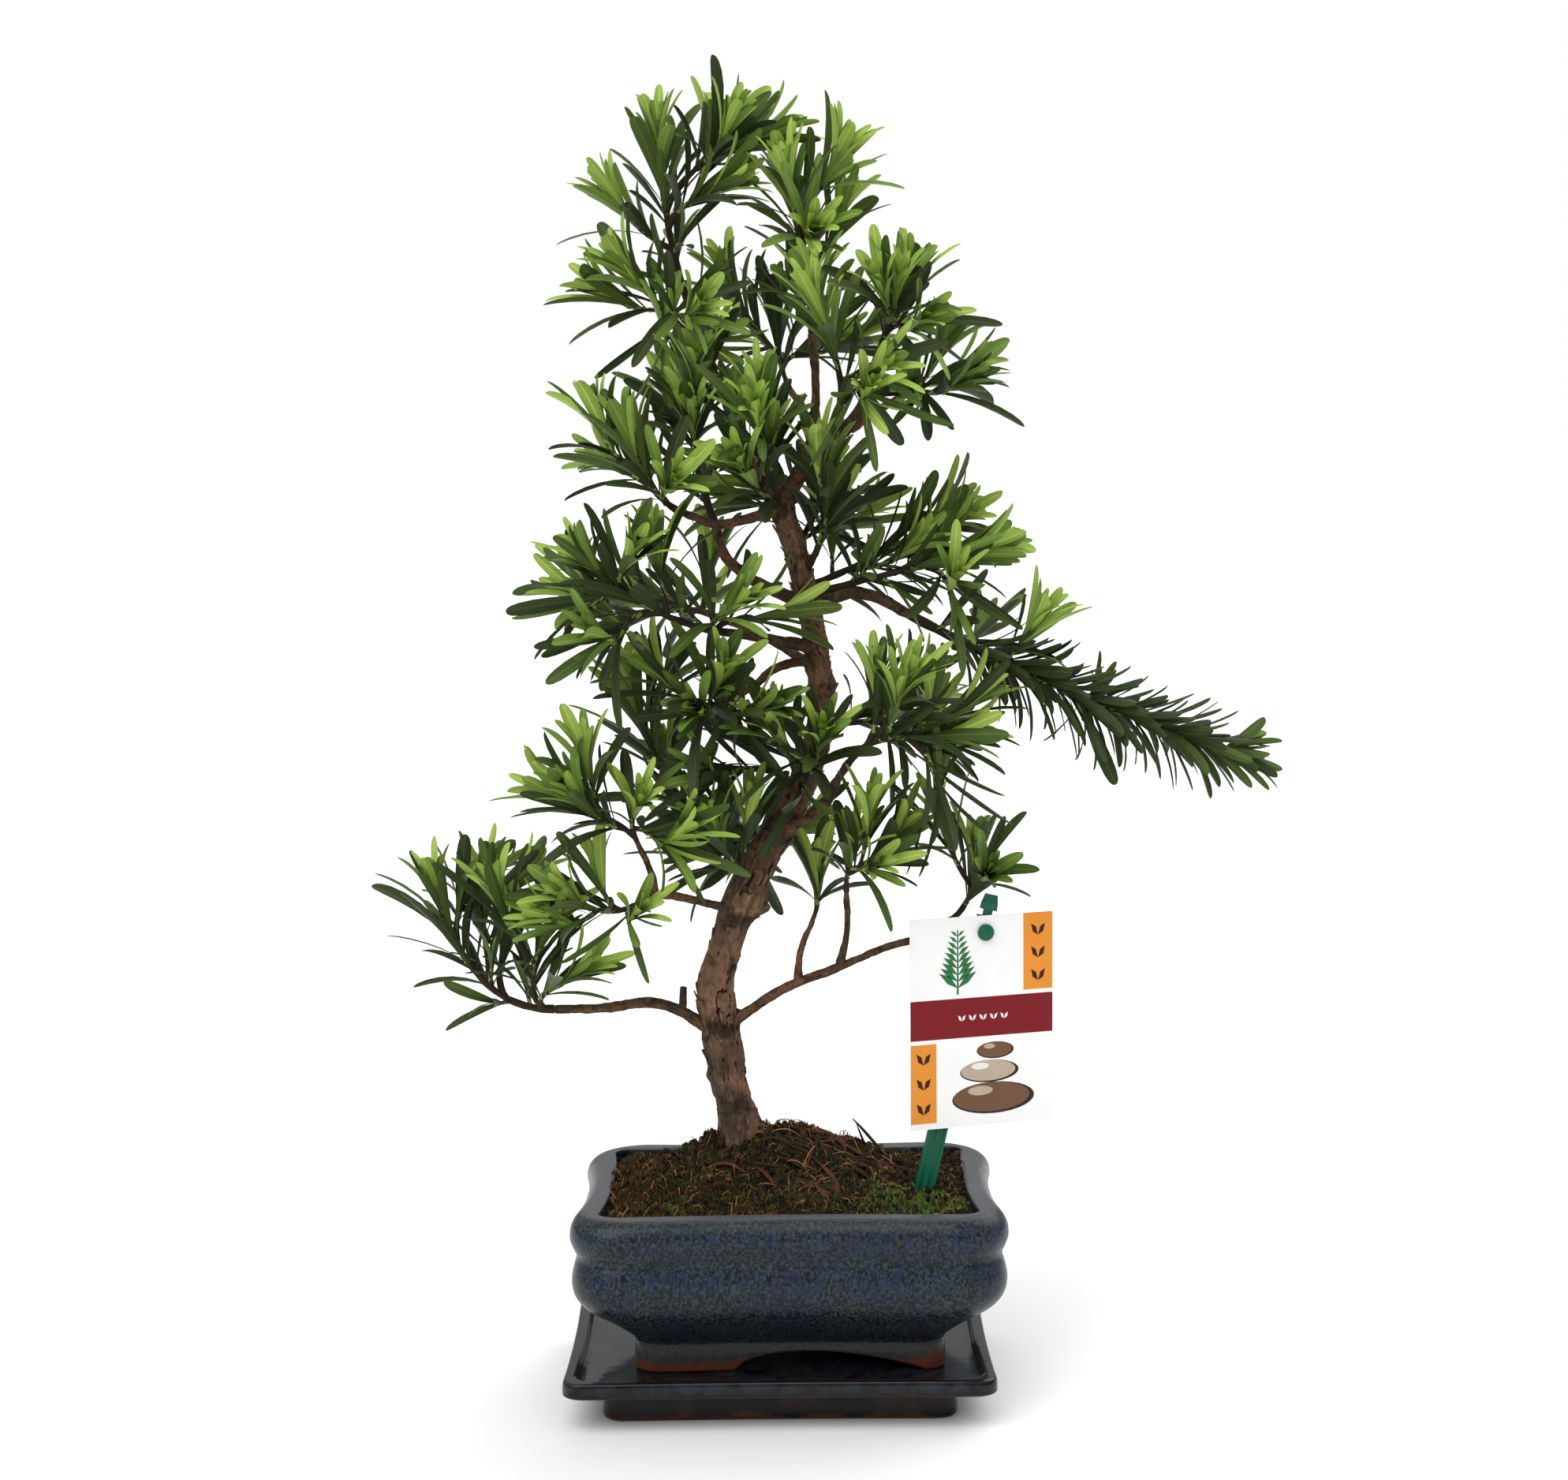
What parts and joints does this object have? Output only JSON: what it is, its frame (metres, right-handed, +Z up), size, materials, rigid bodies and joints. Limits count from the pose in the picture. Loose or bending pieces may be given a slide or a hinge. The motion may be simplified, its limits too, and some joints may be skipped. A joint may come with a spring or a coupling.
{
  "type": "buddhist pine bonsai",
  "caption": "Small potted tree with an S-shaped trunk, drooping and rising boughs, long narrow leaves in tufts, a glazed pot on a drip tray and a plant label.",
  "frame": {"origin": "in the middle of the drip tray's flat underside, on the surface that it stands on", "axes": "+Z up, -Y the front that the picture shows, +X to the right of that view"},
  "size_m": [0.4097, 0.1991, 0.6162],
  "materials": {
    "tray_glaze": "gloss",
    "pot_glaze": "gloss",
    "soil": "matte",
    "stick_green": "satin",
    "card": "satin",
    "bark": "matte",
    "foliage": "satin"
  },
  "bodies": {
    "root": {"tray": "tray_glaze", "pot": "pot_glaze", "soil": "soil", "label_stick": "stick_green", "label_card": "card", "trunk": "bark", "low_left_bough": "bark", "low_right_bough": "bark", "riser_inner": "bark", "riser_left": "bark", "left_second_bough": "bark", "left_second_riser": "bark", "mid_left_low_bough": "bark", "mid_left_bough": "bark", "upper_left_bough": "bark", "long_arm_bough": "bark", "fork_left_bough": "bark", "right_leader": "bark", "left_leader": "bark", "mid_leader": "bark", "crown_front_bough": "bark", "crown_right_bough": "bark", "crown_far_right_bough": "bark", "crown_left_bough": "bark", "right_front_bough": "bark", "back_low_bough": "bark", "back_left_bough": "bark", "back_crown_bough": "bark", "low_left_mass": "foliage", "low_right_mass": "foliage", "riser_inner_mass": "foliage", "riser_left_mass": "foliage", "left_second_mass": "foliage", "left_second_riser_mass": "foliage", "inner_left_mass": "foliage", "thin_left_mass": "foliage", "stub_mass": "foliage", "mid_left_low_mass": "foliage", "mid_left_mass": "foliage", "upper_left_mass": "foliage", "fork_left_mass": "foliage", "fork_front_mass": "foliage", "fork_inner_mass": "foliage", "right_inner_mass": "foliage", "right_mass": "foliage", "right_outer_mass": "foliage", "long_arm_mass": "foliage", "right_front_mass": "foliage", "right_low_star_mass": "foliage", "crown_top_mass": "foliage", "crown_front_mass": "foliage", "crown_right_mass": "foliage", "crown_far_right_mass": "foliage", "crown_top_left_mass": "foliage", "crown_left_mass": "foliage", "back_low_mass": "foliage", "back_left_mass": "foliage", "back_crown_mass": "foliage", "back_inner_mass": "foliage", "back_upper_mass": "foliage"}
  },
  "joints": []
}
